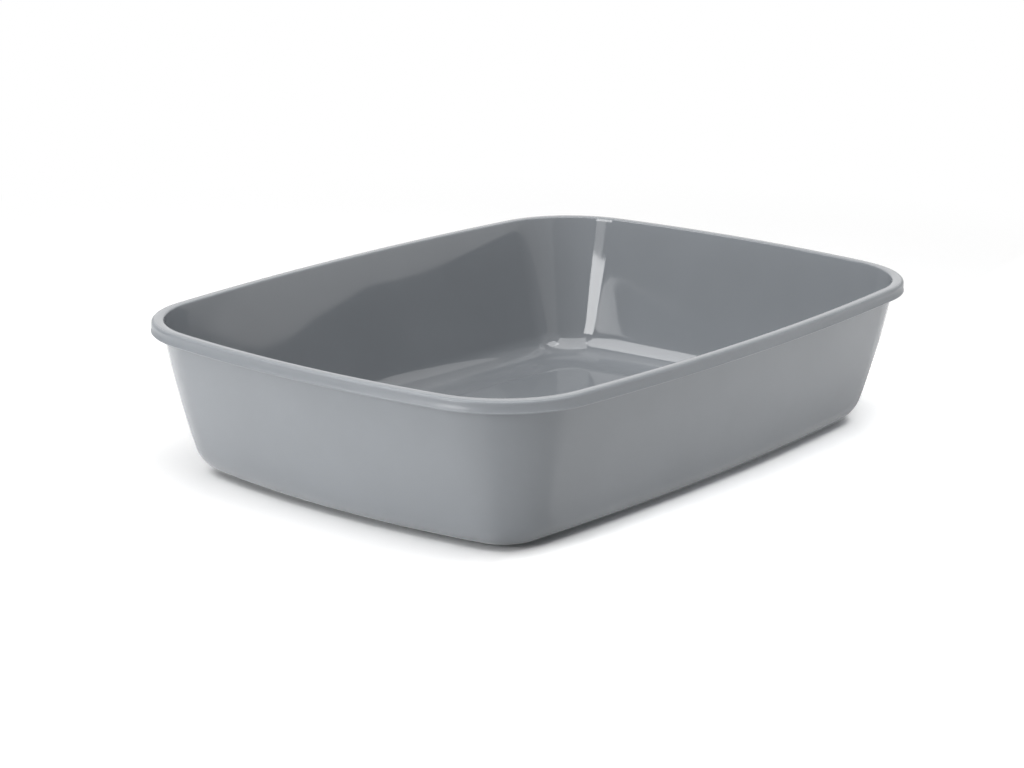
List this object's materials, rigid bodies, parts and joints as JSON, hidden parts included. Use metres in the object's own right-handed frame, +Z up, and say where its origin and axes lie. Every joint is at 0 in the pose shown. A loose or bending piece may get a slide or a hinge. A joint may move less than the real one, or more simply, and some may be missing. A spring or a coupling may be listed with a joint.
{
  "type": "litter tray",
  "caption": "Open rectangular litter tray with leaning bowed walls, wide round corners, a rounded base and a hollow down-turned rim, moulded in one piece.",
  "frame": {"origin": "middle of the footprint, on the ground under the tray", "axes": "+X along the length, +Y along the width, +Z up through the open top"},
  "size_m": [0.464, 0.338, 0.0985],
  "materials": {
    "grey_plastic": "polypropylene, glossy inside and satin outside"
  },
  "bodies": {
    "root": {"tray": "grey_plastic"}
  },
  "joints": []
}
